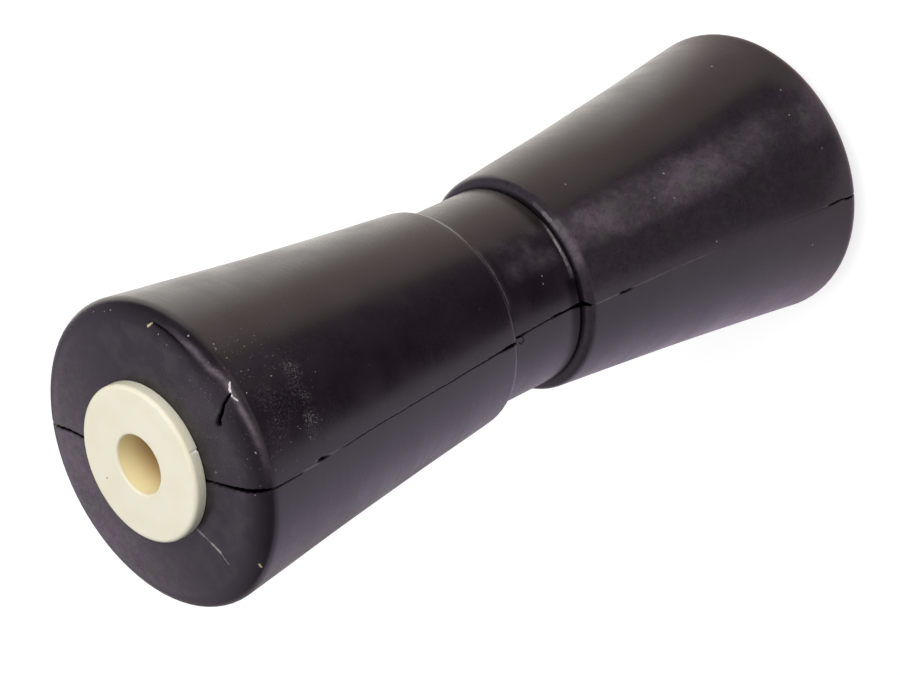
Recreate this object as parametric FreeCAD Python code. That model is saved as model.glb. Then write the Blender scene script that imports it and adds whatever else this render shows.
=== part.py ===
"""Keel roller of a boat trailer, in millimetres.

A one-piece rubber roller, two tapered drums on a short neck, with a flanged plastic bush pressed
into each end to run on a steel shaft. The roller stands on end: its axis is Z, its middle is the
origin and its two ends are alike. The mould parted in the XZ plane.
"""
import FreeCAD, Part
import math
import os

# Steel shaft that the roller turns on, and the room left all round it
shaft_diameter = 19.05
shaft_clearance = 0.65

# Rubber roller; its diameters are those of the sharp corners, before rounding
overall_length = 304.8
face_diameter = 94.6
rim_diameter = 106.0
rim_drop = 4.4
shoulder_diameter = 78.2
neck_diameter = 71.3
neck_length = 33.6
shoulder_angle = 65.0
face_round = 11.3
rim_round = 4.7
shoulder_round = 3.9
neck_corner_round = 2.5
bore_lead_in = 1.0

# How far the drum's side falls in at its middle, where the thick rubber shrank, and how gently
drum_hollow = 0.8
hollow_round = 2600.0

# Flanged bush
flange_diameter = 53.6
flange_thickness = 4.6
flange_edge_round = 1.5
sleeve_diameter = 32.0
sleeve_length = 40.0
sleeve_tip_chamfer = 1.0
bore_mouth_round = 0.8

# Groove that the mould's parting line leaves all round the rubber
parting_width = 0.6
parting_depth = 0.5

# Share of a side that the roundings at its two ends may fill
side_share = 0.98


def rounding_reaches(points, roundings):
    """How far each corner's arc reaches along its sides, cut back where a side is too short for it."""
    count = len(points)
    reaches = []
    for i in range(count):
        before = points[i - 1] - points[i]
        after = points[(i + 1) % count] - points[i]
        reaches.append(roundings[i] / math.tan(before.getAngle(after) / 2))
    limits = list(reaches)
    for i in range(count):
        j = (i + 1) % count
        wanted = reaches[i] + reaches[j]
        room = side_share * points[i].distanceToPoint(points[j])
        if wanted > room:
            limits[i] = min(limits[i], reaches[i] * room / wanted)
            limits[j] = min(limits[j], reaches[j] * room / wanted)
    return limits


def outline_face(corners):
    """Face in the XZ plane inside (radius, height, rounding) corners, each rounded by a tangent arc."""
    points = [FreeCAD.Vector(radius, 0, height) for radius, height, _ in corners]
    reaches = rounding_reaches(points, [rounding for _, _, rounding in corners])
    count = len(points)
    stretches = []
    for i in range(count):
        before = (points[i - 1] - points[i]).normalize()
        after = (points[(i + 1) % count] - points[i]).normalize()
        half_angle = before.getAngle(after) / 2
        start = points[i] + before * reaches[i]
        end = points[i] + after * reaches[i]
        depth = reaches[i] * (1 / math.cos(half_angle) - math.tan(half_angle))
        middle = points[i] + (before + after).normalize() * depth
        stretches.append((start, middle, end))
    edges = []
    for i in range(count):
        start, middle, end = stretches[i]
        edges.append(Part.LineSegment(stretches[i - 1][2], start).toShape())
        if reaches[i] > 0:
            edges.append(Part.Arc(start, middle, end).toShape())
    return Part.Face(Part.Wire(edges))


def turned(face):
    """Solid that the face sweeps in one turn about Z."""
    return face.revolve(FreeCAD.Vector(0, 0, 0), FreeCAD.Vector(0, 0, 1), 360)


def parting_groove(face, end_height):
    """What the parting line takes from the rubber: a thin slab of the skin in the XZ plane."""
    reach = max(rim_diameter, overall_length)
    slab_corner = FreeCAD.Vector(-reach, -parting_width / 2, -reach)
    slab = Part.makeBox(2 * reach, parting_width, 2 * reach, slab_corner)
    core = turned(face.makeOffset2D(-parting_depth))
    hidden_radius = (sleeve_diameter + flange_diameter) / 4
    hidden = Part.makeCylinder(hidden_radius, 2 * end_height, FreeCAD.Vector(0, 0, -end_height))
    return slab.cut(core).cut(hidden)


def make_roller_body(end_height):
    """Rubber roller, bored right through for the bush sleeves, with the parting line round it."""
    sleeve_radius = sleeve_diameter / 2
    wall_height = (shoulder_diameter - neck_diameter) / 2
    shoulder_height = neck_length / 2 + wall_height / math.tan(math.radians(shoulder_angle))
    rim_height = end_height - rim_drop
    waist_radius = (rim_diameter + shoulder_diameter) / 4 - drum_hollow
    upper = [
        (sleeve_radius, end_height - bore_lead_in, 0),
        (sleeve_radius + bore_lead_in, end_height, 0),
        (face_diameter / 2, end_height, face_round),
        (rim_diameter / 2, rim_height, rim_round),
        (waist_radius, (rim_height + shoulder_height) / 2, hollow_round),
        (shoulder_diameter / 2, shoulder_height, shoulder_round),
        (neck_diameter / 2, neck_length / 2, neck_corner_round),
    ]
    lower = [(radius, -height, rounding) for radius, height, rounding in reversed(upper)]
    face = outline_face(upper + lower)
    return turned(face).cut(parting_groove(face, end_height))


def make_upper_bush(end_height):
    """Flanged bush: the flange lies on the rubber's end face, the sleeve fills its bore."""
    top = end_height + flange_thickness
    tip = end_height - sleeve_length
    bore_radius = shaft_diameter / 2 + shaft_clearance
    sleeve_radius = sleeve_diameter / 2
    corners = [
        (bore_radius, tip, 0),
        (bore_radius, top, bore_mouth_round),
        (flange_diameter / 2, top, flange_edge_round),
        (flange_diameter / 2, end_height, 0),
        (sleeve_radius, end_height, 0),
        (sleeve_radius, tip + sleeve_tip_chamfer, 0),
        (sleeve_radius - sleeve_tip_chamfer, tip, 0),
    ]
    return turned(outline_face(corners))


def turned_over(shape):
    """The same shape at the other end."""
    copy = shape.copy()
    copy.rotate(FreeCAD.Vector(0, 0, 0), FreeCAD.Vector(1, 0, 0), 180)
    return copy


def make_parts():
    """Every piece by its name, where it lies in the roller."""
    end_height = overall_length / 2 - flange_thickness
    upper_bush = make_upper_bush(end_height)
    return {
        "roller_body": make_roller_body(end_height),
        "upper_end_bush": upper_bush,
        "lower_end_bush": turned_over(upper_bush),
    }


os.makedirs("parts", exist_ok=True)
for name, shape in make_parts().items():
    shape.exportStep(f"parts/{name}.step")
    box = shape.optimalBoundingBox()
    print(name, "volume", round(shape.Volume), "box", box)
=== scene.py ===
"""Looks of a boat trailer's keel roller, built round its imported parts.

The roller stands on end: its axis is Z, its middle is the origin and the mould parted in the XZ
plane. Lengths are in millimetres until a mesh is made of them. A place on its skin is (radius,
azimuth in degrees, height).
"""
import math

import bpy
import numpy as np
from mathutils import Matrix, Vector


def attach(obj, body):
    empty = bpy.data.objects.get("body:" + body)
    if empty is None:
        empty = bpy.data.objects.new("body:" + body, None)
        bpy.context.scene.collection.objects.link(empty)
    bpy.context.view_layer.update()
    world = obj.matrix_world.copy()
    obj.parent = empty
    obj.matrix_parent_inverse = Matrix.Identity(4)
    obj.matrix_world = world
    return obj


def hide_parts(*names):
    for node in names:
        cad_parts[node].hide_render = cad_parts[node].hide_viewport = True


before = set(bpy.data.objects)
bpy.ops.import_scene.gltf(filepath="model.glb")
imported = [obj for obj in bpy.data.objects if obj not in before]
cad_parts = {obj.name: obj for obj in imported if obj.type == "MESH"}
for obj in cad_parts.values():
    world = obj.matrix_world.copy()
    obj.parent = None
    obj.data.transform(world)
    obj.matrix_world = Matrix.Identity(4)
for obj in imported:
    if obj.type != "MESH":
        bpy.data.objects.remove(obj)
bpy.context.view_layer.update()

metres = 0.001

# Rubber roller, as the part has it
overall_length = 304.8
face_diameter = 94.6
rim_diameter = 106.0
rim_drop = 4.4
shoulder_diameter = 78.2
neck_diameter = 71.3
neck_length = 33.6
shoulder_angle = 65.0
face_round = 11.3
rim_round = 4.7
shoulder_round = 3.9
neck_corner_round = 2.5
bore_lead_in = 1.0
drum_hollow = 0.8
hollow_round = 2600.0

# Flanged bush, as the part has it
flange_diameter = 53.6
flange_thickness = 4.6
flange_edge_round = 1.5
sleeve_diameter = 32.0
sleeve_length = 40.0
bore_diameter = 20.35
bore_mouth_round = 0.8
flange_foot_round = 0.3
sleeve_tip_chamfer = 1.0

end_height = overall_length / 2 - flange_thickness

# Share of a side that the roundings at its two ends may fill
side_share = 0.98

# Distances between a mesh's rows: along a bore, across an end, and along other sides and round the
# corners of the rubber and of a bush
bore_step = 10.0
face_step = 0.8
side_step = 1.6
corner_step = 0.4
bush_side_step = 2.5
bush_corner_step = 0.15

# An arc of a larger radius than this is as flat as a side
widest_turn = 100.0

# Degrees between a mesh's columns, and the rubber's stretches where they are closer: (middle, half
# width, degrees between columns), for the two parting lines, the crack and the worn quarter
bush_column_step = 2.0
rubber_column_step = 4.4
rubber_stretches = ((0, 1.6, 0.15), (180, 3, 0.26), (32, 5, 0.28), (42, 36, 1.3))

# How fast the columns draw apart beside a stretch, and what an angle may be out by
column_growth = 0.35
angle_error = 1e-6


def unit(vector):
    """The same direction with a length of 1."""
    return vector / np.linalg.norm(vector)


def rounding_reaches(points, roundings, halves):
    """How far each corner's arc reaches along its sides, cut back where a side is too short for it."""
    count = len(points)
    reaches = [roundings[i] / math.tan(halves[i]) for i in range(count)]
    limits = list(reaches)
    for i in range(count):
        j = (i + 1) % count
        wanted = reaches[i] + reaches[j]
        room = side_share * np.linalg.norm(points[j] - points[i])
        if wanted > room:
            limits[i] = min(limits[i], reaches[i] * room / wanted)
            limits[j] = min(limits[j], reaches[j] * room / wanted)
    return limits


def side_places(start, end, step):
    """Points along a side from its start, without its end."""
    steps = max(1, round(np.linalg.norm(end - start) / step))
    return [start + (end - start) * k / steps for k in range(steps)]


def arc_places(start, end, centre, turn, steps):
    """Points along an arc from its start, without its end."""
    places = []
    for k in range(steps):
        share = k / steps
        spoke = math.sin((1 - share) * turn) * (start - centre) + math.sin(share * turn) * (end - centre)
        places.append(centre + spoke / math.sin(turn))
    return places


def rounded_outline(corners, line_step, arc_step):
    """Points along a closed outline of (radius, height, rounding) corners, walked clockwise."""
    points = [np.array(corner[:2], float) for corner in corners]
    hidden_radius = min(point[0] for point in points)
    count = len(points)
    before = [unit(points[i - 1] - points[i]) for i in range(count)]
    after = [unit(points[(i + 1) % count] - points[i]) for i in range(count)]
    halves = [math.acos(np.clip(before[i] @ after[i], -1, 1)) / 2 for i in range(count)]
    reaches = rounding_reaches(points, [corner[2] for corner in corners], halves)
    places = []
    for i in range(count):
        last = points[i - 1] + after[i - 1] * reaches[i - 1]
        start = points[i] + before[i] * reaches[i]
        end = points[i] + after[i] * reaches[i]
        step = line_step
        if start[0] == last[0] == hidden_radius:
            step = bore_step
        elif start[1] == last[1]:
            step = face_step
        places += side_places(last, start, step)
        if reaches[i] > 0:
            radius = reaches[i] * math.tan(halves[i])
            centre = points[i] + unit(before[i] + after[i]) * radius / math.sin(halves[i])
            turn = math.pi - 2 * halves[i]
            step = arc_step if radius < widest_turn else line_step
            places += arc_places(start, end, centre, turn, max(2, round(radius * turn / step)))
    return np.array(places)


def outline_normals(places):
    """Outward normals of a closed outline walked clockwise."""
    along = np.roll(places, -1, axis=0) - np.roll(places, 1, axis=0)
    along /= np.linalg.norm(along, axis=1)[:, None]
    return np.stack((-along[:, 1], along[:, 0]), axis=1)


def put_in_scene(name, data):
    """New object with this data, in the scene."""
    made = bpy.data.objects.new(name, data)
    bpy.context.scene.collection.objects.link(made)
    return made


def turned_mesh(name, places, azimuths, relief=None):
    """Closed ring mesh of an outline turned about Z.

    relief gives the millimetres that the skin is raised along its normals, below zero where it is
    sunk, and shares from 0 to 1 that the materials read by their names.
    """
    normals = outline_normals(places)
    rows, columns = len(places), len(azimuths)
    radius = np.repeat(places[:, 0:1], columns, axis=1)
    height = np.repeat(places[:, 1:2], columns, axis=1)
    angle = np.repeat(azimuths[None, :], rows, axis=0)
    marks = {}
    if relief is not None:
        raised, marks = relief(radius, height, angle)
        radius = radius + raised * normals[:, 0:1]
        height = height + raised * normals[:, 1:2]
    coordinates = np.stack((radius * np.cos(angle), radius * np.sin(angle), height), axis=2) * metres
    row, column = np.meshgrid(np.arange(rows), np.arange(columns), indexing="ij")
    next_row, next_column = (row + 1) % rows, (column + 1) % columns
    quads = np.stack((row * columns + column, next_row * columns + column,
                      next_row * columns + next_column, row * columns + next_column), axis=2)
    mesh = bpy.data.meshes.new(name)
    mesh.from_pydata(coordinates.reshape(-1, 3).tolist(), [], quads.reshape(-1, 4).tolist())
    mesh.polygons.foreach_set("use_smooth", np.ones(len(mesh.polygons), bool))
    for label, share in marks.items():
        attribute = mesh.attributes.new(label, "FLOAT", "POINT")
        attribute.data.foreach_set("value", share.ravel().astype(np.float32))
    mesh.update()
    return put_in_scene(name, mesh)


def spread_azimuths(stretches, coarse):
    """Azimuths in radians round the axis, coarse degrees apart and closer in the stretches."""
    found = []
    azimuth = -180.0
    while azimuth < 180.0 - angle_error:
        found.append(azimuth)
        step = coarse
        for middle, half_width, fine in stretches:
            away = abs((azimuth - middle + 180.0) % 360.0 - 180.0)
            step = min(step, max(fine, fine + (away - half_width) * column_growth))
        azimuth += step
    return np.radians(found)


def body_corners():
    """The rubber's outline as (radius, height, rounding) corners, from the upper bore down the outside."""
    sleeve_radius = sleeve_diameter / 2
    wall = (shoulder_diameter - neck_diameter) / 2
    shoulder_height = neck_length / 2 + wall / math.tan(math.radians(shoulder_angle))
    rim_height = end_height - rim_drop
    waist_radius = (rim_diameter + shoulder_diameter) / 4 - drum_hollow
    upper = [
        (sleeve_radius, end_height - bore_lead_in, 0),
        (sleeve_radius + bore_lead_in, end_height, 0),
        (face_diameter / 2, end_height, face_round),
        (rim_diameter / 2, rim_height, rim_round),
        (waist_radius, (rim_height + shoulder_height) / 2, hollow_round),
        (shoulder_diameter / 2, shoulder_height, shoulder_round),
        (neck_diameter / 2, neck_length / 2, neck_corner_round),
    ]
    return upper + [(radius, -height, rounding) for radius, height, rounding in reversed(upper)]


def bush_corners():
    """The upper bush's outline, walked clockwise from the foot of its bore."""
    top = end_height + flange_thickness
    tip = end_height - sleeve_length
    sleeve_radius = sleeve_diameter / 2
    return [
        (bore_diameter / 2, tip, 0),
        (bore_diameter / 2, top, bore_mouth_round),
        (flange_diameter / 2, top, flange_edge_round),
        (flange_diameter / 2, end_height, flange_foot_round),
        (sleeve_radius, end_height, 0),
        (sleeve_radius, tip + sleeve_tip_chamfer, 0),
        (sleeve_radius - sleeve_tip_chamfer, tip, 0),
    ]


# Parting line on the side that shows: (way down the outline, how far it strays from its plane,
# depth, half width). The way is the height, and beyond the rim it also counts how far the line has
# run inwards. Where the depth is below zero the line is a flush flash with a painted highlight.
front_seam = (
    (172, -1.1, 0.9, 0.4),
    (162, -0.8, 1.2, 0.52),
    (157, -0.4, 1.3, 0.6),
    (148, -0.1, 1.3, 0.56),
    (144, 0, 0.65, 0.36),
    (140, 0, 0.4, 0.24),
    (134, -0.2, 0.28, 0.2),
    (129, -0.2, 0.2, 0.2),
    (128, -0.2, -0.22, 0.28),
    (121.6, -0.4, -0.22, 0.28),
    (120.6, 0.4, 1, 0.4),
    (117.4, 0.2, 1, 0.4),
    (116.4, 0.1, -0.2, 0.26),
    (111, 0, -0.12, 0.24),
    (108, 0, 0.18, 0.18),
    (90, 0.2, 0.16, 0.17),
    (54, 0, 0.2, 0.18),
    (36, 0.1, 0.24, 0.2),
    (27, 0.1, 0.45, 0.26),
    (24.5, 0, 1.1, 0.44),
    (19, -0.1, 1.2, 0.5),
    (17, -0.5, 1, 0.42),
    (13.5, -0.3, 0.6, 0.3),
    (8, 0.1, 0.26, 0.2),
    (-2.5, 0.6, 0.3, 0.22),
    (-4, 0.6, 0.85, 0.36),
    (-8, 0.4, 0.6, 0.26),
    (-13.5, 0.6, 0.95, 0.38),
    (-15.5, 0.3, 1.2, 0.5),
    (-16.8, 0, 1.4, 0.8),
    (-18.2, -0.4, 0.8, 0.44),
    (-19.4, -0.5, 0.06, 0.26),
    (-20.5, -0.4, -0.2, 0.28),
    (-31, -0.3, -0.2, 0.28),
    (-31.8, -0.4, 0.7, 0.28),
    (-36, -0.3, 0.6, 0.24),
    (-37, -0.2, -0.1, 0.26),
    (-49, 0.2, -0.16, 0.28),
    (-58, 0.3, -0.04, 0.26),
    (-66, 0.2, -0.14, 0.26),
    (-78, 0.3, 0, 0.22),
    (-129.5, -0.4, 0.03, 0.22),
    (-131.5, -0.5, 0.8, 0.32),
    (-136, -0.1, 0.7, 0.3),
    (-139, -0.7, 0.9, 0.36),
    (-145, -0.5, 1, 0.42),
)

# And on the side behind
rear_seam = (
    (172, -0.2, 1.1, 0.5),
    (166, 0.9, 1.1, 0.5),
    (161, 1.5, 1.1, 0.5),
    (154, 1.6, 1.1, 0.5),
    (140, 0.9, 0.7, 0.34),
    (120, 0.4, 0.4, 0.26),
    (60, 0.2, 0.32, 0.26),
    (20, -0.3, 0.7, 0.34),
    (0, 0.2, 0.4, 0.26),
    (-17, 0, 0.8, 0.44),
    (-30, 0.5, 0.35, 0.26),
    (-100, -0.3, 0.3, 0.26),
    (-145, 0.6, 0.8, 0.36),
)

# Ragged run of a parting line: how far it strays, its two waves in radians for each millimetre, and
# the finer wave's share and start
ragged_reach = 0.09
ragged_wave = 2.1
fine_wave = 5.3
fine_share = 0.6
fine_start = 1.0

# How deep a groove is where its painted shade starts to look black, and where it is quite black
black_from = 0.25
black_at = 0.7

# How far below zero a parting line's depth is where the painted highlight on its flash is full
flash_highlight_at = 0.22

# Moulded crease on the upper end's rounding, with a painted highlight along it: (azimuth in degrees,
# height, how strong that painted highlight is)
crease_line = (
    (8, 143.5, 0.25),
    (15, 143.5, 0.5),
    (20, 143.8, 0.85),
    (25, 143.9, 0.95),
    (30, 144.2, 1),
    (36, 144.3, 0.85),
    (41, 144.2, 0.65),
    (44, 144.7, 0.7),
    (48, 145.4, 0.9),
    (55, 145.4, 0.8),
    (60, 145.5, 0.7),
    (66, 145.4, 0.25),
)
crease_half_width = 1.0
crease_fade = 8.0

# Rows of the mesh that the crease may lie on: how far below the end, and how far inside its edge
crease_below = 12.0
crease_inside = 4.0

# Fine groove just inside the crease's upper stretch: (azimuth in degrees, height, depth, half width)
nip_line = (
    (50, 146.35, 0.08, 0.5),
    (60, 146.3, 0.16, 0.36),
    (66, 146.15, 0.2, 0.34),
    (72, 146, 0.22, 0.34),
    (80, 146, 0.22, 0.32),
)
nip_fade = 3.0

# How much blacker the fine groove's painted shade is than its depth makes it
nip_shade = 2.6

# Sharp cut where the neck meets a shoulder, and how much less black its painted shade is than its
# depth makes it
corner_cut_height = 16.5
corner_cut_depth = 0.75
corner_cut_half_width = 0.44
corner_cut_shade = 0.72

# Lip on the neck beside that cut, the azimuths where a highlight is painted on it, and how gently that fades
corner_lip_height = 15.7
corner_lip_half_width = 0.36
lip_highlight_from = 12.0
lip_highlight_to = 60.0
lip_growth = 8.0
lip_fade = 14.0

# How much shallower the parting line is where the crease and the lip cross it
crease_fill = 0.24
lip_fill = 0.12

# Wave of the skin: its depth, its slow part's height for each radian, waves in a round and start,
# and how much faster its quick part turns and that one's waves in a round
wave_depth = 0.07
wave_height = 23.0
slow_wave_rounds = 3
slow_wave_start = 1.0
quick_wave_speed = 2.1
quick_wave_rounds = 2


def on_body(radius, azimuth, height):
    """Point at a place on the skin."""
    angle = math.radians(azimuth)
    return np.array([radius * math.cos(angle), radius * math.sin(angle), height])


# Crack across the end's rounding, from the rim to the face: its knots' places, half widths and depths
crack = (
    ((51.2, 36.2, 144.9), 0.34, 1.2),
    ((48.3, 34.4, 146.7), 0.38, 1.4),
    ((46, 31.9, 147.5), 0.5, 1.6),
    ((44.1, 30.8, 147.8), 0.66, 1.6),
    ((42.8, 29.2, 147.8), 1.05, 1.6),
)


def table_columns(table):
    """Each column of a table."""
    return [np.array(column) for column in zip(*table)]


def smooth(share):
    """Smooth step of a share, from 0 to 1."""
    share = np.clip(share, 0, 1)
    return share * share * (3 - 2 * share)


def trench(away):
    """Section of a steep-sided groove: 1 in its middle, and near 0 past its half width."""
    return np.exp(-away ** 4)


def groove(radius, height, angle, seam):
    """Depth of a parting line that lies near the azimuth where the sine is zero."""
    ways, strays, depths, half_widths = table_columns(reversed(seam))
    turned_in = np.abs(height) > end_height - rim_drop
    way = height + np.sign(height) * turned_in * (rim_diameter / 2 - radius)
    ragged = ragged_reach * (np.sin(ragged_wave * way) + fine_share * np.sin(fine_wave * way + fine_start))
    across = radius * np.sin(angle) - np.interp(way, ways, strays) - ragged
    return np.interp(way, ways, depths) * trench(across / np.interp(way, ways, half_widths))


def seam_depth(radius, height, angle):
    """Depth of the parting line on both sides."""
    front = groove(radius, height, angle, front_seam)
    rear = groove(radius, height, angle, rear_seam)
    return np.where(np.cos(angle) > 0, front, rear)


def crease_shares(radius, height, turn):
    """Where the crease lies, and how strong its painted highlight is there."""
    azimuths, crests, wears = table_columns(crease_line)
    crest = np.interp(turn, azimuths, crests)
    started = smooth((turn - azimuths[0]) / crease_fade + 1)
    unfinished = smooth((azimuths[-1] - turn) / crease_fade + 1)
    on_rim = (height[:, 0] > end_height - crease_below) & (radius[:, 0] > face_diameter / 2 - crease_inside)
    order = np.argsort(height[on_rim, 0])
    crest_radius = np.interp(crest, height[on_rim, 0][order], radius[on_rim, 0][order])
    away = np.hypot(radius - crest_radius, height - crest) / crease_half_width
    crease = started * unfinished * np.exp(-away ** 2)
    return crease, np.interp(turn, azimuths, wears) * crease


def nip_depth(radius, height, turn):
    """Depth of the fine groove beside the crease."""
    azimuths, heights, depths, half_widths = table_columns(nip_line)
    span = smooth((turn - azimuths[0]) / nip_fade) * smooth((azimuths[-1] - turn) / nip_fade)
    away = (height - np.interp(turn, azimuths, heights)) / np.interp(turn, azimuths, half_widths)
    on_rounding = radius > face_diameter / 2
    return np.interp(turn, azimuths, depths) * span * on_rounding * trench(away)


def corner_shares(radius, height, turn):
    """Where the corner cut and the lip beside it lie, and where a highlight is painted on that lip."""
    on_neck = radius < shoulder_diameter / 2 - shoulder_round / 2
    cut = on_neck * trench((np.abs(height) - corner_cut_height) / corner_cut_half_width)
    away = (np.abs(height) - corner_lip_height) / corner_lip_half_width
    lip = on_neck * np.exp(-away ** 2)
    started = smooth((turn - lip_highlight_from) / lip_growth)
    unfinished = smooth((lip_highlight_to - turn) / lip_fade)
    return cut, lip, lip * started * unfinished


def segment_distance(points, start, end):
    """Each point's distance from a segment, and how far along it the nearest place is, from 0 to 1."""
    along = end - start
    share = np.clip((points - start) @ along / (along @ along), 0, 1)
    return np.linalg.norm(points - start - share[..., None] * along, axis=-1), share


def crack_depth(radius, height, angle):
    """Depth of the crack."""
    places = np.stack((radius * np.cos(angle), radius * np.sin(angle), height), axis=-1)
    found = []
    for (start, start_width, start_depth), (end, end_width, end_depth) in zip(crack, crack[1:]):
        distance, share = segment_distance(places, on_body(*start), on_body(*end))
        half_width = start_width + (end_width - start_width) * share
        depth = start_depth + (end_depth - start_depth) * share
        found.append(depth * trench(distance / half_width))
    return np.maximum.reduce(found)


def wave_share(height, angle):
    """How far down the skin's wave is, from 0 to 1."""
    quick = np.sin(height / wave_height * quick_wave_speed + quick_wave_rounds * angle)
    slow = np.sin(height / wave_height + slow_wave_rounds * angle + slow_wave_start)
    return 0.5 + 0.5 * quick * slow


def rubber_relief(radius, height, angle):
    """How far the rubber is raised, nowhere above zero, and where shade and highlights are painted on it."""
    turn = np.degrees(angle)
    seam = seam_depth(radius, height, angle)
    crack_sink = crack_depth(radius, height, angle)
    nip = nip_depth(radius, height, turn)
    crease, crease_highlight = crease_shares(radius, height, turn)
    cut, lip, lip_highlight = corner_shares(radius, height, turn)
    cut_sink = corner_cut_depth * cut
    waved = wave_depth * wave_share(height, angle) * (radius > flange_diameter / 2)
    raised = np.minimum(-seam + crease_fill * crease + lip_fill * lip, -crack_sink) - nip - cut_sink - waved
    outside = radius > (sleeve_diameter + flange_diameter) / 4
    # Painted shade: deep grooves turn black where no light would come back
    deepest = np.maximum.reduce([seam, crack_sink, nip_shade * nip, corner_cut_shade * cut_sink])
    black_and_painted_shade = smooth((deepest - black_from) / (black_at - black_from))
    # Painted highlights on the flash, the crease and the neck's lip
    painted_highlight = np.clip(np.maximum.reduce([-seam / flash_highlight_at, crease_highlight, lip_highlight]), 0, 1)
    return raised * outside, {"black_and_painted_shade": black_and_painted_shade, "painted_highlight": painted_highlight * (1 - black_and_painted_shade)}


# Nick down the upper flange's side: its azimuth, the height that it starts from, its depth and half
# width, the share of its depth from which it is quite white, and its stretch of closer columns
nick_azimuth = 20.0
nick_height = 151.2
nick_depth = 0.4
nick_half_width = 0.4
nick_white_at = 0.6
nick_stretch = (nick_azimuth, 1.5, 0.25)


def bush_relief(radius, height, angle):
    """How far the nylon is raised, which is below zero in the nick, and where it is cut."""
    across = radius * np.sin(angle - math.radians(nick_azimuth))
    ahead = np.cos(angle - math.radians(nick_azimuth)) > 0
    side = smooth(nick_height - height) * (radius > flange_diameter / 2 - flange_edge_round)
    cut = side * ahead * np.exp(-(across / nick_half_width) ** 2)
    return -nick_depth * cut, {"cut": smooth(cut / nick_white_at)}


# Full share of a dot's or a stroke's half width, the same of a speck, and the faintest speck
core_share = 0.35
speck_core_share = 0.3
faintest_speck = 0.3


class Shading:
    """Short ways to add nodes to a material or the world."""

    def __init__(self, owner):
        owner.use_nodes = True
        self.owner = owner
        self.tree = owner.node_tree

    @property
    def shader(self):
        return self.tree.nodes["Principled BSDF"]

    def fill(self, node, inputs):
        """Link or set a node's inputs, by number or name."""
        for name, value in dict(inputs).items():
            if isinstance(value, bpy.types.NodeSocket):
                self.tree.links.new(value, node.inputs[name])
            else:
                node.inputs[name].default_value = value

    def node(self, kind, inputs=(), **settings):
        """New node."""
        made = self.tree.nodes.new(kind)
        for name, value in settings.items():
            setattr(made, name, value)
        self.fill(made, inputs)
        return made

    def maths(self, operation, *values):
        """Result of a maths node."""
        return self.node("ShaderNodeMath", enumerate(values), operation=operation).outputs[0]

    def vector(self, operation, inputs, result=0):
        """Result of a vector maths node: its first is a vector, its second a number."""
        return self.node("ShaderNodeVectorMath", inputs, operation=operation).outputs[result]

    def place(self):
        """Place on the object, in metres."""
        return self.node("ShaderNodeTexCoord").outputs["Object"]

    def skin_place(self):
        """Place on the object, in millimetres."""
        return self.vector("SCALE", {0: self.place(), "Scale": 1 / metres})

    def axes(self, place):
        """The three coordinates of a place."""
        return self.node("ShaderNodeSeparateXYZ", {0: place}).outputs

    def mark(self, name):
        """Share that the mesh carries under a name."""
        return self.node("ShaderNodeAttribute", attribute_name=name).outputs["Fac"]

    def fade(self, value, low, high):
        """Smooth step from 0 at low to 1 at high."""
        inputs = {"Value": value, "From Min": low, "From Max": high}
        return self.node("ShaderNodeMapRange", inputs, interpolation_type="SMOOTHSTEP").outputs[0]

    def spread(self, value, low, high):
        """Straight map of 0 to 1 onto low to high."""
        return self.node("ShaderNodeMapRange", {"Value": value, "To Min": low, "To Max": high}).outputs[0]

    def rest(self, share):
        """What a share leaves of 1."""
        return self.maths("SUBTRACT", 1.0, share)

    def clamped(self, value):
        """The value, kept from 0 to 1."""
        return self.node("ShaderNodeClamp", {"Value": value}).outputs[0]

    def chain(self, operation, values):
        """Result of a maths node over several values, one after another."""
        reached = values[0]
        for value in values[1:]:
            reached = self.maths(operation, reached, value)
        return reached

    def all_of(self, *shares):
        """Product of several shares."""
        return self.chain("MULTIPLY", shares)

    def most_of(self, *shares):
        """Largest of several shares."""
        return self.chain("MAXIMUM", shares)

    def total(self, *values):
        """Sum of several values."""
        return self.chain("ADD", values)

    def band(self, value, start, full, waning, end):
        """0 up to start, 1 from full to waning, and 0 from end on."""
        return self.all_of(self.fade(value, start, full), self.fade(value, end, waning))

    def mix(self, share, first, second):
        """Colour between two colours."""
        return self.node("ShaderNodeMix", {0: share, 6: first, 7: second}, data_type="RGBA").outputs[2]

    def cloud(self, where, size, detail):
        """Noise whose blots are about size millimetres across."""
        inputs = {"Vector": where, "Scale": 1 / size, "Detail": detail}
        return self.node("ShaderNodeTexNoise", inputs).outputs[0]

    def specks(self, where, spacing, size, kept):
        """Round dots of size millimetres, some fainter, in a share of cells spacing millimetres apart."""
        cells = self.node("ShaderNodeTexVoronoi", {"Vector": where, "Scale": 1 / spacing}).outputs
        chance = self.node("ShaderNodeSeparateColor", {"Color": cells["Color"]}).outputs
        edge = self.fade(cells["Distance"], speck_core_share * size / spacing, size / spacing)
        strength = self.spread(chance[1], faintest_speck, 1.0)
        return self.all_of(self.rest(edge), self.maths("LESS_THAN", chance[0], kept), strength)

    def core(self, distance, half_width):
        """1 where the distance is small, fading to 0 at the half width."""
        return self.rest(self.fade(distance, core_share * half_width, half_width))

    def dot(self, where, middle, half_width):
        """1 at a point, fading to 0 at its half width."""
        return self.core(self.vector("DISTANCE", {0: where, 1: on_body(*middle).tolist()}, 1), half_width)

    def stroke(self, where, start, end, half_width):
        """1 along a segment between two points, fading to 0 at its half width."""
        start, end = on_body(*start), on_body(*end)
        along = end - start
        from_start = self.vector("SUBTRACT", {0: where, 1: start.tolist()})
        reach = self.vector("DOT_PRODUCT", {0: from_start, 1: (along / (along @ along)).tolist()}, 1)
        foot = self.vector("SCALE", {0: along.tolist(), "Scale": self.clamped(reach)})
        return self.core(self.vector("DISTANCE", {0: from_start, 1: foot}, 1), half_width)

    def bump(self, rise):
        """Bump of a rise in millimetres."""
        made = self.node("ShaderNodeBump", {"Height": rise, "Distance": metres})
        self.fill(self.shader, {"Normal": made.outputs[0]})
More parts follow.
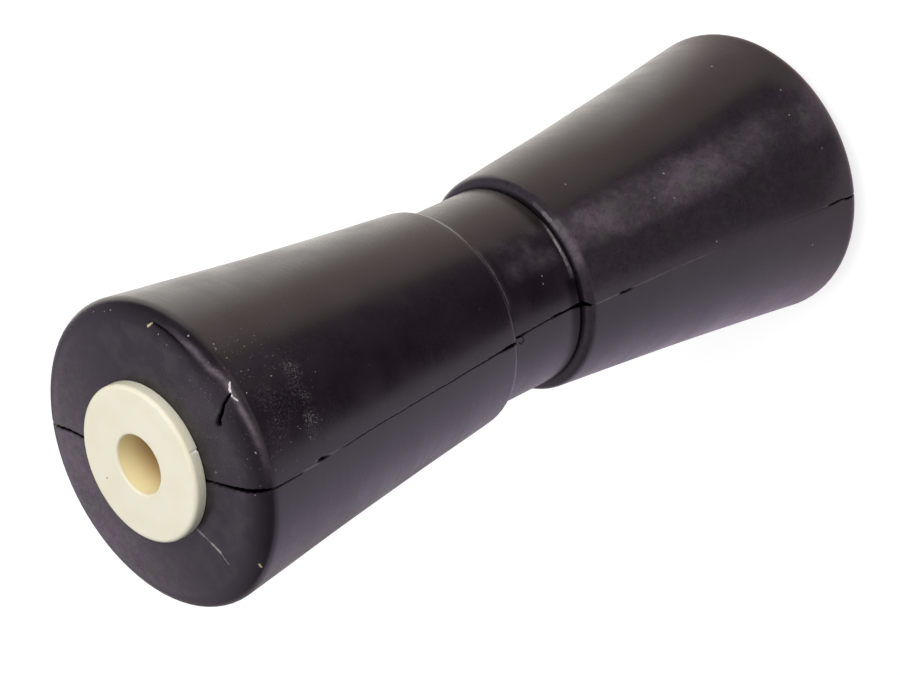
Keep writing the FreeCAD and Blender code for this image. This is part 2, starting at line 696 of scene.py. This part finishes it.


# Rubber's plain colour, the two colours of its bloom and painted light, painted highlights, dust,
# torn edges and the painted highlights drawn with them, and crumbs
rubber_colour = (0.0062, 0.0036, 0.0066, 1)
bloom_and_painted_light_colour = (0.112, 0.086, 0.112, 1)
bloom_and_painted_light_grey = (0.1, 0.09, 0.094, 1)
highlight_colour = (0.13, 0.108, 0.124, 1)
dust_colour = (0.42, 0.39, 0.38, 1)
torn_and_highlight_colour = (0.74, 0.7, 0.7, 1)
crumb_colour = (0.5, 0.44, 0.28, 1)

# Painted shade: black of grooves so deep and narrow that no light would come back, and of the
# squiggle; it is mixed in with Metallic, so that nothing is mirrored there
black_colour = (0.002, 0.001, 0.002, 1)

# Scratches and torn edges, and painted highlights along the neck's lip and on the far shoulder, each
# with its two ends, half width and strength
scratches_and_highlights = (
    ((52.3, 39.8, 143.4), (51.5, 37.6, 144.5), 0.42, 1),
    ((51.5, 37.6, 144.5), (51.3, 35.4, 144.7), 0.48, 1),
    ((51.3, 35.4, 144.7), (51.8, 33, 144.2), 0.36, 0.8),
    ((27.2, -47.2, 147.8), (30.5, -44.8, 147.8), 0.55, 0.25),
    ((30.5, -44.8, 147.8), (34.1, -43.3, 147.8), 0.45, 0.16),
    ((34.1, -43.3, 147.8), (38.3, -42, 147.8), 0.6, 0.4),
    ((38.3, -42, 147.8), (42.8, -42.5, 147.8), 0.4, 0.2),
    # Painted highlight along the neck's lip
    ((35.75, 24, -14.9), (35.75, 17, -14.85), 0.75, 0.06),
    ((35.75, 32, -14.95), (35.75, 24, -14.9), 0.75, 0.17),
    ((35.75, 39, -15.05), (35.75, 32, -14.95), 0.75, 0.36),
    ((35.75, 46, -15.5), (35.75, 39, -15.05), 0.75, 0.16),
    ((35.75, 53, -15.8), (35.75, 46, -15.5), 0.7, 0.07),
    # Painted highlight on the far shoulder's rounding
    ((37.2, 49, -17.5), (37.3, 43, -17.6), 1, 0.07),
    ((37.2, 55, -17.5), (37.2, 49, -17.5), 1, 0.16),
    ((37.4, 62, -17.6), (37.2, 55, -17.5), 1, 0.05),
)

# Crumbs stuck to the upper end, each with its two ends and half width
crumbs = (
    ((48, 79.2, 146.9), (49.3, 77.8, 146.2), 0.55),
    ((51.6, -33.4, 144.4), (50.9, -32.2, 145), 0.5),
)

# Black squiggle on the neck, where the parting line meets the near shoulder
squiggle = (
    (35.7, -0.5, 13.4),
    (35.7, -3.8, 12),
    (35.7, -5.6, 13.6),
    (35.7, -3.6, 14.6),
)

# Clusters of scuff marks, each with its reach
clusters = (
    ((49.9, 14.2, 119), 7),
    ((50.3, 23.8, 122), 5),
    ((52, 51, 135.5), 6.5),
    ((50.5, 19, 145.5), 4),
    ((52.6, 40, 141), 5),
)

# Rubbed places with chatter marks in them, each with its reach and strength
rubbed_places = (
    ((49.9, 34.5, 119), 5, 0.32),
    ((50, 29, 121), 4.5, 0.2),
    ((50, 24.5, 118.6), 3.5, 0.3),
    ((50.1, 16.5, 120), 4.2, 0.5),
    ((50.4, 12, 121.4), 4.5, 0.18),
    ((51.8, 29, 133.5), 8, 0.13),
    ((51.8, 18, 134.5), 8, 0.15),
    ((51.4, 24, 128.5), 7, 0.12),
)

# Light dots, each with its half width
dots = (
    ((49.6, 101.2, 146), 0.45),
    ((49.9, 112, 145.8), 0.4),
    ((49.2, 104.8, 146.2), 0.3),
    ((49.5, 130.2, 146.1), 0.36),
    ((47.5, 73.2, 147), 0.3),
    ((49.5, 69, 146), 0.4),
    ((46.2, 67.8, 147.5), 0.26),
    ((51.9, 62, 143.9), 0.36),
    ((52.3, 34, 140.2), 0.45),
    ((52.5, 54.5, 139.6), 0.4),
    ((52.6, 52.6, 140.3), 0.34),
    ((51, 14, 145), 0.4),
    ((48.2, -1.8, 146.8), 0.36),
    ((32.3, 5.2, 147.8), 0.4),
    ((40.4, 61.6, -31.8), 0.4),
    ((45, 4.2, -76.9), 0.5),
    ((50.5, -15.2, -122.8), 0.45),
    ((50.2, 77.7, -120.7), 0.45),
    ((51, 40, -127.3), 0.45),
    ((51.5, 50.8, -131.4), 0.36),
    ((51.7, 22.5, -133.3), 0.34),
    ((43.9, 42.8, -67), 0.5),
    ((43.8, 30.5, -65.2), 0.36),
    ((43, 34.5, -58), 0.32),
    ((35.6, 20.3, -1.8), 0.45),
    ((35.6, 24.5, -2.7), 0.3),
    ((36, -23.2, -16.5), 0.5),
)

# Rubber's noises: (size, detail), and in the last three the values that are spread out to 0 and 1.
# The rings' noise is stretched round the axis.
mottle_noise = (14, 4)
grain_noise = (1.1, 1)
ring_noise = (1.2, 0)
ring_stretch = (0.03, 0.03, 1)
chatter_noise = (0.5, 2)
patch_noise = (17, 5, 0.38, 0.66)
blot_noise = (7, 4, 0.36, 0.64)
flow_noise = (3.2, 4, 0.34, 0.66)

# How far and how finely places are bent, for marks with ragged edges
bend_reach = 0.9
bend_fineness = 0.9

# Where the bloom, the far shoulder's painted highlight and the end face's painted light lie: a rise
# is where it is 0 and where it is 1, and a band is where it starts, is full, wanes and ends. Azimuths
# are in radians.
far_drum_rise = (-16.8, -18.5)
far_patch_band = (0.3, 0.62, 0.7, 0.94)
far_patch_wane = (-70, -112)
far_haze_band = (-0.25, 0.2, 0.75, 1.05)
shoulder_highlight_heights = (-20.4, -18.8, -17.6, -16.9)
shoulder_highlight_band = (0.25, 0.45, 0.78, 0.88)
neck_heights = (-15, -11, 11, 15)
neck_band = (0.4, 0.6, 0.75, 1)
near_drum_rise = (16, 24)
near_growth = (100, 125)
near_band = (0.4, 0.65, 0.72, 0.9)
face_painted_light_rise = (146.5, 147.6)
face_haze_rise = (146.8, 147.6)

# Way that the end face's painted light grows, how far before the axis it starts, and its length
face_painted_light_way = (-0.866, -0.5, 0)
face_painted_light_before = 20.0
face_painted_light_length = 60.0

# Least and greatest strengths of each stretch of bloom and of painted light
plain_bloom = 0.05
far_patch_strengths = (0.55, 1)
far_end_strengths = (1, 0.6)
far_haze_strength = 0.22
shoulder_highlight_strengths = (0.22, 0.95)
neck_strengths = (0.1, 0.6)
near_strengths = (0.06, 0.13)
face_painted_light_strengths = (0.55, 1.25)
face_haze_strengths = (0, 0.15)
bloom_grain = (0.6, 1.4)
bloom_flow = (0.8, 1.1)

# Where the near drum is scuffed, and which values of the mottle let dashes show
scuffed_rise = (104, 119)
scuffed_band = (0, 0.2, 0.8, 1.15)
dash_mottle = (0.38, 0.58)
dash_stretch = (1, 1, 0.4)
chatter_values = (0.5, 0.68)

# Kinds of specks: (millimetres apart, size, share of them that is there)
flecks = (6, 0.22, 0.2)
fine_specks = (1.2, 0.15, 0.25)
packed_specks = (0.8, 0.14, 0.8)
dashes = (1, 0.17, 0.6)

# Strengths of the painted highlights' mottle
highlight_grain = (0.5, 1.3)
highlight_flow = (0.7, 1.15)

# Painted shade in the neck's far corner, away from the light, and the squiggle's half width
corner_heights = (-16.8, -16.2, -13.2, -10)
lit_band = (0.22, 0.36, 0.8, 0.92)
corner_shade_strength = 0.6
squiggle_half_width = 0.34

# How the plain colour goes with the mottle, and how strongly dust covers it
mottle_values = (0.3, 0.75)
darkest_rubber = 0.8
lightest_rubber = 1.3
dust_cover = 0.8

# Roughness: its range, what grain and rings change it by, and what marks raise it to
rubber_roughness = (0.27, 0.35)
roughness_change = (-0.04, 0.04)
dust_roughness = 0.7
scratch_roughness = 0.6

# Rises of the rubber's grain and rings and of a crumb, in millimetres
rubber_rise = (0, 0.004)
crumb_rise = 0.05


class RubberShading(Shading):
    """Rubber's material, with the places and noises that its marks share."""

    def __init__(self):
        super().__init__(bpy.data.materials.new("black_rubber"))
        self.skin = self.skin_place()
        axes = self.axes(self.skin)
        self.angle = self.maths("ARCTAN2", axes[1], axes[0])
        self.height = axes[2]
        self.ragged = self.bent(self.skin)
        self.mottle = self.cloud(self.skin, *mottle_noise)
        self.grain = self.cloud(self.skin, *grain_noise)
        self.rings = self.cloud(self.vector("MULTIPLY", {0: self.skin, 1: ring_stretch}), *ring_noise)
        self.patches = self.spots(patch_noise)
        self.blots = self.spots(blot_noise)
        self.flow = self.spots(flow_noise)

    def bent(self, where):
        """The place, moved a little this way and that."""
        noise = self.node("ShaderNodeTexNoise", {"Vector": where, "Scale": bend_fineness})
        bend = self.vector("SCALE", {0: noise.outputs[1], "Scale": bend_reach})
        moved = self.vector("ADD", {0: where, 1: bend})
        return self.vector("SUBTRACT", {0: moved, 1: (bend_reach / 2,) * 3})

    def spots(self, noise):
        """Noise that is spread out to 0 and 1."""
        size, detail, low, high = noise
        return self.fade(self.cloud(self.skin, size, detail), low, high)

    def uneven(self, share, grain_strengths, flow_strengths):
        """The share, stronger and weaker from place to place."""
        return self.all_of(share, self.spread(self.grain, *grain_strengths),
                           self.spread(self.flow, *flow_strengths))

    def far_bloom(self):
        """Bloom on the far drum: a light patch with a haze round it."""
        on_drum = self.fade(self.height, *far_drum_rise)
        patch = self.all_of(on_drum, self.band(self.angle, *far_patch_band),
                            self.spread(self.fade(self.height, *far_patch_wane), *far_end_strengths),
                            self.spread(self.patches, *far_patch_strengths))
        haze = self.all_of(on_drum, self.band(self.angle, *far_haze_band), far_haze_strength)
        return self.most_of(patch, haze)

    def shoulder_highlight_and_neck_bloom(self):
        """Painted highlight on the far shoulder's rounding, and bloom on the neck."""
        # Painted highlight along the far shoulder's rounding
        shoulder_highlight_strength = self.spread(self.band(self.angle, *shoulder_highlight_band), *shoulder_highlight_strengths)
        shoulder = self.all_of(self.band(self.height, *shoulder_highlight_heights), shoulder_highlight_strength)
        neck = self.all_of(self.band(self.height, *neck_heights), self.band(self.angle, *neck_band),
                           self.spread(self.patches, *neck_strengths))
        return self.most_of(shoulder, neck)

    def near_bloom(self):
        """Faint bloom on the near drum, stronger towards its end."""
        strength = self.spread(self.fade(self.height, *near_growth), *near_strengths)
        in_band = self.band(self.angle, *near_band)
        return self.all_of(self.fade(self.height, *near_drum_rise), in_band, strength)

    def face_painted_light_and_bloom(self):
        """End face: a patch of painted light that grows along its way, and a blotched bloom haze."""
        lean = self.vector("DOT_PRODUCT", {0: self.skin, 1: face_painted_light_way}, 1)
        grown = self.clamped(self.maths("DIVIDE", self.total(lean, face_painted_light_before), face_painted_light_length))
        # Painted light: the patch grows lighter along its way across the face
        patch = self.all_of(self.fade(self.height, *face_painted_light_rise), grown, grown,
                            self.spread(self.mottle, *face_painted_light_strengths))
        haze = self.all_of(self.fade(self.height, *face_haze_rise),
                           self.spread(self.blots, *face_haze_strengths))
        return self.most_of(patch, haze)

    def bloom(self):
        """How strong the bloom, the far shoulder's painted highlight and the end face's painted light are."""
        # The whole takes in the painted highlight on the far shoulder and the painted light on the end face
        whole = self.most_of(self.all_of(self.patches, plain_bloom), self.far_bloom(), self.shoulder_highlight_and_neck_bloom(),
                             self.near_bloom(), self.face_painted_light_and_bloom())
        return self.uneven(whole, bloom_grain, bloom_flow)

    def dust_of(self, where, kind, *limits):
        """Specks of one kind, fewer where the limits are low."""
        spacing, size, kept = kind
        return self.specks(where, spacing, size, self.all_of(*limits, kept))

    def chatter(self):
        """Fine marks in the rubbed places."""
        rubbed = self.most_of(*[self.all_of(self.dot(self.skin, middle, reach), strength)
                                for middle, reach, strength in rubbed_places])
        return self.all_of(rubbed, self.fade(self.cloud(self.skin, *chatter_noise), *chatter_values))

    def dust(self):
        """Where there are dust, scuffs and light dots."""
        scuffed = self.all_of(self.fade(self.height, *scuffed_rise), self.band(self.angle, *scuffed_band))
        clustered = self.most_of(*[self.dot(self.skin, middle, reach) for middle, reach in clusters])
        dashed = self.vector("MULTIPLY", {0: self.ragged, 1: dash_stretch})
        mottled = self.fade(self.mottle, *dash_mottle)
        named = [self.dot(self.ragged, middle, half_width) for middle, half_width in dots]
        return self.most_of(self.dust_of(self.skin, flecks),
                            self.dust_of(self.skin, fine_specks, scuffed),
                            self.dust_of(self.skin, packed_specks, clustered),
                            self.dust_of(dashed, dashes, scuffed, mottled),
                            self.chatter(), *named)

    def scratched_and_highlit(self):
        """Scratch marks and torn edges, and painted highlights on the neck's lip and the far shoulder."""
        return self.most_of(*[self.all_of(self.stroke(self.ragged, start, end, half_width), strength)
                              for start, end, half_width, strength in scratches_and_highlights])

    def crumbed(self):
        """Where crumbs stick."""
        return self.most_of(*[self.stroke(self.ragged, start, end, half_width)
                              for start, end, half_width in crumbs])

    def painted_highlight(self):
        """How strong the painted highlights on the flash, the crease and the lip are."""
        return self.uneven(self.mark("painted_highlight"), highlight_grain, highlight_flow)

    def black_and_painted_shade(self):
        """Painted shade in deep grooves and the far corner, where no light comes back; and the squiggle."""
        loop = [self.stroke(self.ragged, start, end, squiggle_half_width)
                for start, end in zip(squiggle, squiggle[1:])]
        # Painted shade in the neck's far corner, away from the light
        corner_shade = self.all_of(self.band(self.height, *corner_heights),
                                self.rest(self.band(self.angle, *lit_band)), corner_shade_strength)
        return self.most_of(self.mark("black_and_painted_shade"), corner_shade, *loop)

    def plain_colour(self):
        """Rubber's own colour, a little mottled."""
        dark = [share * darkest_rubber for share in rubber_colour]
        light = [share * lightest_rubber for share in rubber_colour]
        return self.mix(self.fade(self.mottle, *mottle_values), dark, light)

    def roughness(self, dust, scratched_and_highlit, crumbed):
        """Roughness of the rubber and of what lies on it."""
        rough = self.total(self.spread(self.fade(self.mottle, *mottle_values), *rubber_roughness),
                           self.spread(self.grain, *roughness_change),
                           self.spread(self.rings, *roughness_change))
        scratch_rough = self.all_of(scratched_and_highlit, scratch_roughness)
        return self.most_of(rough, self.all_of(dust, dust_roughness), scratch_rough, crumbed)

    def rise(self, crumbed):
        """Millimetres that grain, rings and crumbs rise."""
        return self.total(self.spread(self.grain, *rubber_rise), self.spread(self.rings, *rubber_rise),
                          self.all_of(crumbed, crumb_rise))


def rubber_material():
    """Black moulded rubber: mottled, with bloom, dust, scuffs, a few scratch marks, painted light and shade.
    """
    made = RubberShading()
    dust, scratched_and_highlit, crumbed, black_and_painted_shade = made.dust(), made.scratched_and_highlit(), made.crumbed(), made.black_and_painted_shade()
    colour = made.mix(made.bloom(), made.plain_colour(), made.mix(made.blots, bloom_and_painted_light_colour, bloom_and_painted_light_grey))
    # Painted highlights on the flash, the crease and the neck's lip
    colour = made.mix(made.painted_highlight(), colour, highlight_colour)
    colour = made.mix(made.all_of(dust, dust_cover), colour, dust_colour)
    # Torn edges and scratch marks, with painted highlights on the lip and the far shoulder
    colour = made.mix(scratched_and_highlit, colour, torn_and_highlight_colour)
    colour = made.mix(crumbed, colour, crumb_colour)
    # Painted shade in deep grooves and the far corner, and the dark squiggle
    colour = made.mix(black_and_painted_shade, colour, black_colour)
    rough = made.roughness(dust, scratched_and_highlit, crumbed)
    made.fill(made.shader, {"Base Color": colour, "Metallic": black_and_painted_shade, "Roughness": rough})
    made.bump(made.rise(crumbed))
    return made.owner


# Nylon: its colour and a darker shade, the painted bounce light at the bore's mouth and painted shade
# in its depth, a fresh cut, and a dark speck
nylon_colour = (0.86, 0.845, 0.675, 1)
nylon_shade = (0.84, 0.815, 0.635, 1)
mouth_bounce_colour = (0.96, 0.86, 0.5, 1)
bore_shade_colour = (0.52, 0.33, 0.14, 1)
cut_colour = (0.97, 0.97, 0.9, 1)
speck_colour = (0.25, 0.22, 0.17, 1)

# Radii and depths where the bore's painted shade is 0 and 1, and depths between which it deepens
bore_rise = (11.2, 10.3)
mouth_rise = (0.2, 1.6)
shade_deepening = (1, 17)

# Nylon's noises, where its shade shows, its roughness and rise, and how light goes into it, in metres
nylon_mottle = (9, 3)
nylon_grain = (0.6, 2)
shade_values = (0.35, 0.7)
nylon_roughness = (0.36, 0.5)
nylon_rise = (0, 0.006)
nylon_glow = 0.25
nylon_glow_shares = (1, 0.8, 0.5)
nylon_glow_reach = 0.0015

# Speck on the near flange: its two ends and half width
speck = ((19, -153.7, 152.4), (19.3, -153.7, 152.4), 0.35)


def nylon_material():
    """Cream moulded nylon, a little mottled, browner with painted shade deep in its bore, white where nicked.
    """
    made = Shading(bpy.data.materials.new("cream_nylon"))
    place = made.skin_place()
    axes = made.axes(place)
    away = made.maths("SQRT", made.total(*[made.maths("POWER", axes[i], 2.0) for i in range(2)]))
    depth = made.maths("SUBTRACT", overall_length / 2, made.maths("ABSOLUTE", axes[2]))
    mottle = made.cloud(place, *nylon_mottle)
    in_bore = made.all_of(made.fade(away, *bore_rise), made.fade(depth, *mouth_rise))
    # Painted shade and bounce light in the bore: warmer at its mouth, browner deeper in
    bore = made.mix(made.fade(depth, *shade_deepening), mouth_bounce_colour, bore_shade_colour)
    colour = made.mix(made.fade(mottle, *shade_values), nylon_colour, nylon_shade)
    colour = made.mix(in_bore, colour, bore)
    colour = made.mix(made.mark("cut"), colour, cut_colour)
    colour = made.mix(made.stroke(place, *speck), colour, speck_colour)
    rough = made.spread(mottle, *nylon_roughness)
    made.fill(made.shader, {"Base Color": colour, "Roughness": rough, "Subsurface Weight": nylon_glow,
                            "Subsurface Radius": nylon_glow_shares, "Subsurface Scale": nylon_glow_reach})
    made.bump(made.spread(made.cloud(place, *nylon_grain), *nylon_rise))
    return made.owner


def make_roller():
    """The rubber roller, in place of its plain part."""
    places = rounded_outline(body_corners(), side_step, corner_step)
    azimuths = spread_azimuths(rubber_stretches, rubber_column_step)
    skin = turned_mesh("rubber_roller", places, azimuths, rubber_relief)
    skin.data.materials.append(rubber_material())
    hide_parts("roller_body")
    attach(skin, "root")


def make_bushes():
    """The two bushes, in place of their plain parts; only the upper one is nicked."""
    nylon = nylon_material()
    places = rounded_outline(bush_corners(), bush_side_step, bush_corner_step)
    azimuths = spread_azimuths([nick_stretch], bush_column_step)
    for name, node, relief in (("upper_bush_skin", "upper_end_bush", bush_relief),
                               ("lower_bush_skin", "lower_end_bush", None)):
        bush = turned_mesh(name, places, azimuths, relief)
        if relief is None:
            bush.data.transform(Matrix.Rotation(math.pi, 4, "X"))
        bush.data.materials.append(nylon)
        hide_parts(node)
        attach(bush, "root")


# Floor, in metres: how far it reaches, its colour, the glow that makes it white to the camera, and
# the tints that reflections see
floor_reach = 6.0
floor_colour = (0.5, 0.5, 0.5, 1)
floor_glow = 0.76
mirrored_warm = (0.44, 0.285, 0.205, 1)
mirrored_cool = (0.55, 0.42, 0.64, 1)
mirrored_dim = (0.16, 0.11, 0.13, 1)
mirrored_back = (1.21, 1.13, 1.03, 1)

# Where each mirrored tint takes over from the last: the warm one, the dim one, and the one behind,
# which also shows near the roller's foot, at these distances from its middle
warm_along_y = (-0.15, 0.15)
dim_along_x = (0.06, -0.2)
dim_along_y = (-0.05, -0.2)
back_along_x = (-0.05, -0.22)
back_along_y = (-0.14, 0)
foot_distances = (0.24, 0.206)
foot_along_x = (-0.01, -0.06)


def stage_piece(name, corners, material):
    """Flat staging piece with its corners in metres."""
    mesh = bpy.data.meshes.new(name)
    mesh.from_pydata(corners, [], [tuple(range(len(corners)))])
    mesh.materials.append(material)
    piece = put_in_scene(name, mesh)
    return piece


def floor_tint(made):
    """Colour that reflections see from place to place on the floor."""
    place = made.place()
    x, y, _ = made.axes(place)
    tint = made.mix(made.fade(y, *warm_along_y), mirrored_cool, mirrored_warm)
    dim = made.all_of(made.fade(x, *dim_along_x), made.fade(y, *dim_along_y))
    tint = made.mix(dim, tint, mirrored_dim)
    away = made.vector("LENGTH", {0: place}, 1)
    near_foot = made.all_of(made.fade(away, *foot_distances), made.fade(x, *foot_along_x))
    behind = made.most_of(made.fade(x, *back_along_x), near_foot)
    return made.mix(made.all_of(behind, made.fade(y, *back_along_y)), tint, mirrored_back)


def make_floor():
    """White floor under the roller's lower end."""
    made = Shading(bpy.data.materials.new("floor"))
    made.tree.nodes.remove(made.shader)
    path = made.node("ShaderNodeLightPath").outputs
    diffuse = made.node("ShaderNodeBsdfDiffuse", {"Color": floor_colour})
    seen = made.node("ShaderNodeEmission", {"Strength": made.all_of(path["Is Camera Ray"], floor_glow)})
    mirrored = made.node("ShaderNodeEmission", {"Color": floor_tint(made), "Strength": path["Is Glossy Ray"]})
    glows = made.node("ShaderNodeAddShader", {0: seen.outputs[0], 1: mirrored.outputs[0]})
    whole = made.node("ShaderNodeAddShader", {0: diffuse.outputs[0], 1: glows.outputs[0]})
    made.fill(made.tree.nodes["Material Output"], {"Surface": whole.outputs[0]})
    height = -overall_length / 2 * metres
    corners = [(x * floor_reach, y * floor_reach, height) for x, y in ((-1, -1), (1, -1), (1, 1), (-1, 1))]
    stage_piece("floor", corners, made.owner)


# Dark card that lies beside the roller: its colour, its middle's azimuth and how far it fans, in
# degrees, where it starts and ends, and how high it lies over the floor, in metres
card_colour = (0.14, 0.1, 0.14, 1)
card_azimuth = 29.5
card_fan = 81.0
card_near = 0.085
card_far = 0.9
card_lift = 0.004


def make_card():
    """Dark card for the deep tone down the roller's middle; it shows only in reflections."""
    made = Shading(bpy.data.materials.new("dark_card"))
    made.fill(made.shader, {"Base Color": card_colour, "Roughness": 1.0, "Specular IOR Level": 0.0})
    first = math.radians(card_azimuth - card_fan / 2)
    last = math.radians(card_azimuth + card_fan / 2)
    height = -overall_length / 2 * metres + card_lift
    ends = ((card_near, first), (card_far, first), (card_far, last), (card_near, last))
    corners = [(reach * math.cos(angle), reach * math.sin(angle), height) for reach, angle in ends]
    card = stage_piece("dark_card", corners, made.owner)
    card.visible_camera = False
    card.visible_diffuse = False
    card.visible_shadow = False


# World's light: its strengths on its dark and bright sides, the way towards the bright one, the
# shares of that way between which it grows, its colour, and its tint where it is mirrored
world_low = 0.22
world_high = 0.68
world_way = (-0.615, -0.335, 0.714)
world_growth = (0.4, 1)
world_colour = (1, 1, 1, 1)
mirrored_tint = (0.97, 0.83, 1.04, 1)

# Soft lamps, both from one direction: their distance and sizes in metres, and their watts. The wide
# one shows in no reflection; the narrow one gives the highlights.
lamp_azimuth = 60.0
lamp_elevation = 47.0
lamp_distance = 1.3
lamp_width = 1.4
wide_height = 0.8
wide_power = 13.4
narrow_height = 0.3
narrow_power = 3.0
lamp_colour = (1, 0.96, 0.97)


def towards(azimuth, elevation):
    """Way from the middle towards an azimuth and an elevation in degrees."""
    azimuth, elevation = math.radians(azimuth), math.radians(elevation)
    return Vector((math.cos(elevation) * math.cos(azimuth), math.cos(elevation) * math.sin(azimuth),
                   math.sin(elevation)))


def make_lamp(name, height, power):
    """Soft lamp that faces the roller."""
    data = bpy.data.lights.new(name, "AREA")
    data.shape = "RECTANGLE"
    data.size = lamp_width
    data.size_y = height
    data.energy = power
    data.color = lamp_colour
    lamp = put_in_scene(name, data)
    direction = towards(lamp_azimuth, lamp_elevation)
    lamp.location = lamp_distance * direction
    lamp.rotation_euler = direction.to_track_quat("Z", "Y").to_euler()
    lamp.visible_camera = False
    return lamp


def make_world():
    """Soft world, brightest high behind the roller and plain white to the camera."""
    world = bpy.data.worlds.new("studio")
    bpy.context.scene.world = world
    made = Shading(world)
    path = made.node("ShaderNodeLightPath").outputs
    direction = made.node("ShaderNodeTexCoord").outputs["Generated"]
    along = made.vector("DOT_PRODUCT", {0: direction, 1: world_way}, 1)
    strength = made.spread(made.fade(along, *world_growth), world_low, world_high)
    tint = made.mix(path["Is Glossy Ray"], world_colour, mirrored_tint)
    strength = made.most_of(strength, path["Is Camera Ray"])
    made.fill(made.tree.nodes["Background"], {"Color": tint, "Strength": strength})


# Camera: the direction that it looks from, its turn about that line, its distance, the point that it
# looks at, its lens and sensor, and in metres where its sight starts and ends
view_azimuth = 28.615
view_elevation = 39.311
view_roll = -116.256
view_distance = 1215.7
view_target = (3.6, -6.5, 15.7)
lens_length = 143.49
sensor_width = 36.0
sight_start = 0.05
sight_end = 30.0


def make_camera():
    """Camera at the photograph's viewing angle."""
    back = towards(view_azimuth, view_elevation)
    roll = math.radians(view_roll)
    level_right = Vector((0, 0, 1)).cross(back).normalized()
    level_up = back.cross(level_right)
    right = math.cos(roll) * level_right + math.sin(roll) * level_up
    up = math.cos(roll) * level_up - math.sin(roll) * level_right
    data = bpy.data.cameras.new("camera")
    data.sensor_width = sensor_width
    data.lens = lens_length
    data.clip_start = sight_start
    data.clip_end = sight_end
    camera = put_in_scene("camera", data)
    turn = Matrix((right, up, back)).transposed().to_4x4()
    camera.matrix_world = Matrix.Translation((Vector(view_target) + view_distance * back) * metres) @ turn
    bpy.context.scene.camera = camera


make_roller()
make_bushes()
make_floor()
make_card()
make_world()
make_lamp("wide_lamp", wide_height, wide_power).visible_glossy = False
make_lamp("narrow_lamp", narrow_height, narrow_power)
make_camera()
bpy.context.scene.view_settings.view_transform = "Standard"
